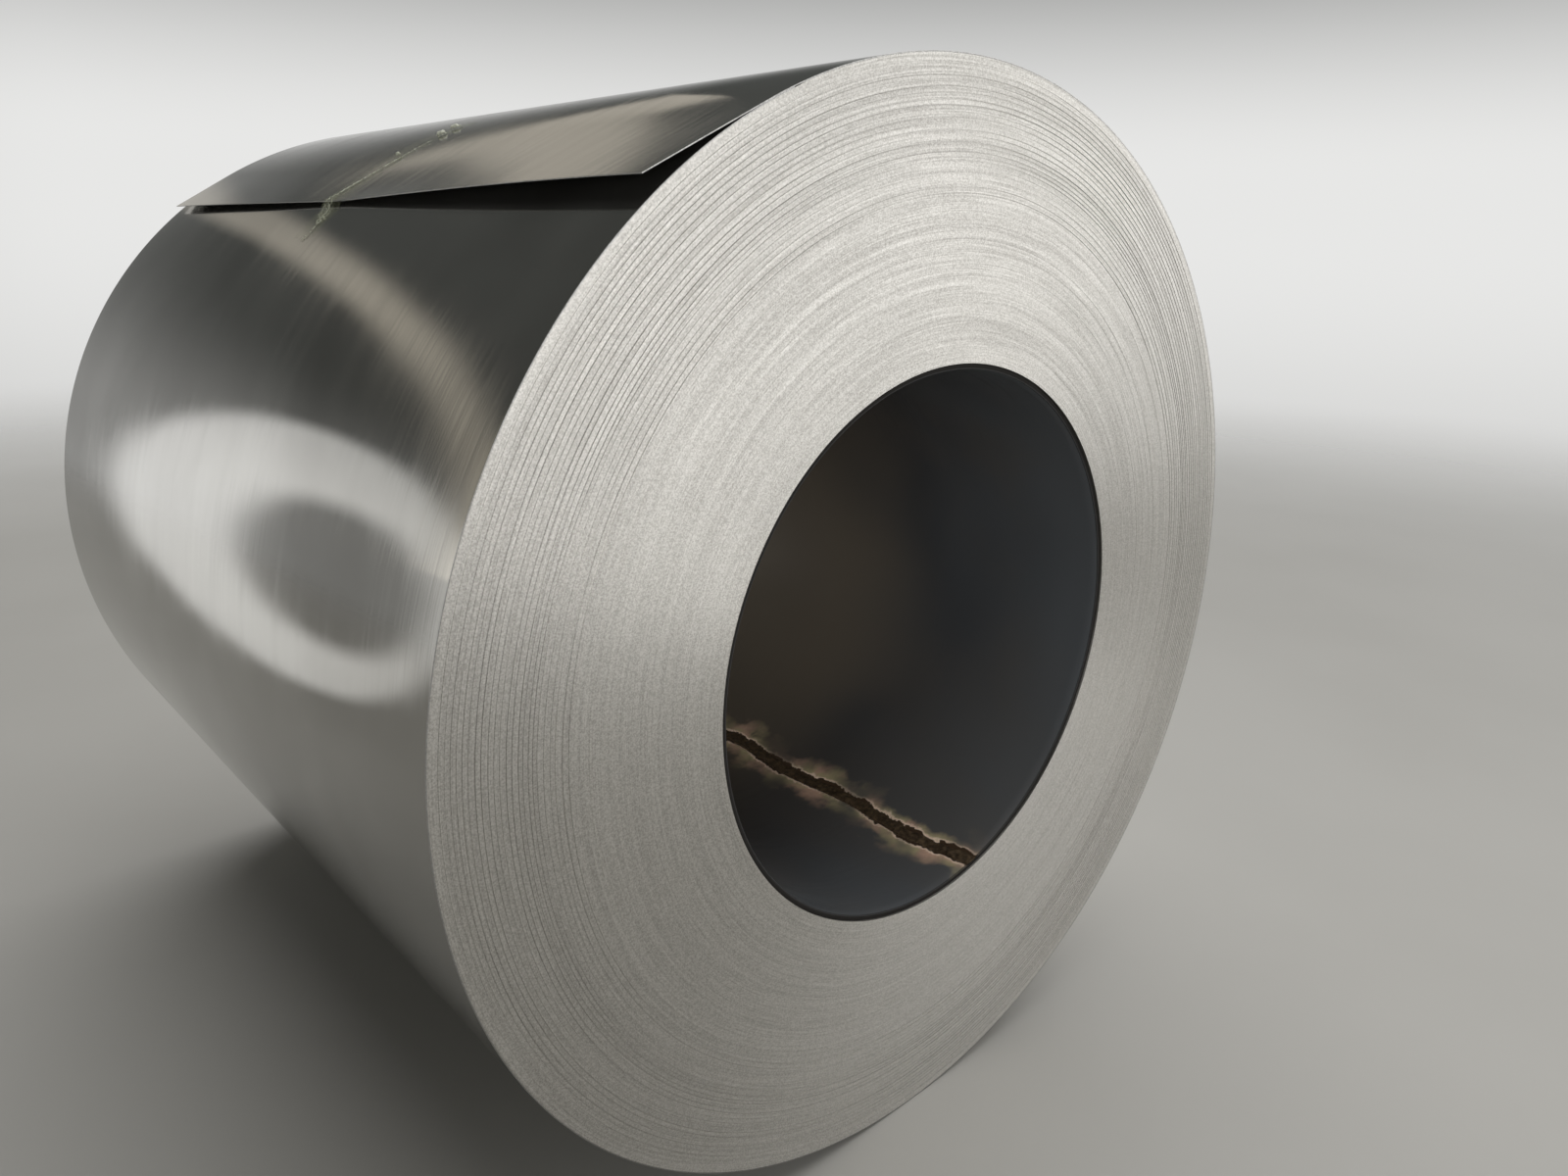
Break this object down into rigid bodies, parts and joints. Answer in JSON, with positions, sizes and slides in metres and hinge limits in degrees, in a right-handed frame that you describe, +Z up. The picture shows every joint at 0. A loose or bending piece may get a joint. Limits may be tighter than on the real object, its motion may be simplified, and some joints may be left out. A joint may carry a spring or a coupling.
{
  "type": "steel coil",
  "caption": "Coil of bright thin steel strip wound on a dark steel sleeve, lying on its wall, with the taped-down loose end of the outer turn springing up at its corners.",
  "frame": {"origin": "on the floor under the middle of the lying coil: centre of the bounding box's base", "axes": "+Z up; the bore runs level along Y, and the end that the loose tail springs furthest from faces -Y"},
  "size_m": [0.99, 1.02, 0.99],
  "materials": {
    "strip_steel": "bright cold rolled wall, matte sheared ends",
    "sleeve_steel": "dark mill scale, lightly oiled",
    "clear_tape": "clear packing tape, creased"
  },
  "bodies": {
    "root": {"strip_coil": "strip_steel", "core_sleeve": "sleeve_steel", "tail_tape": "clear_tape"}
  },
  "joints": []
}
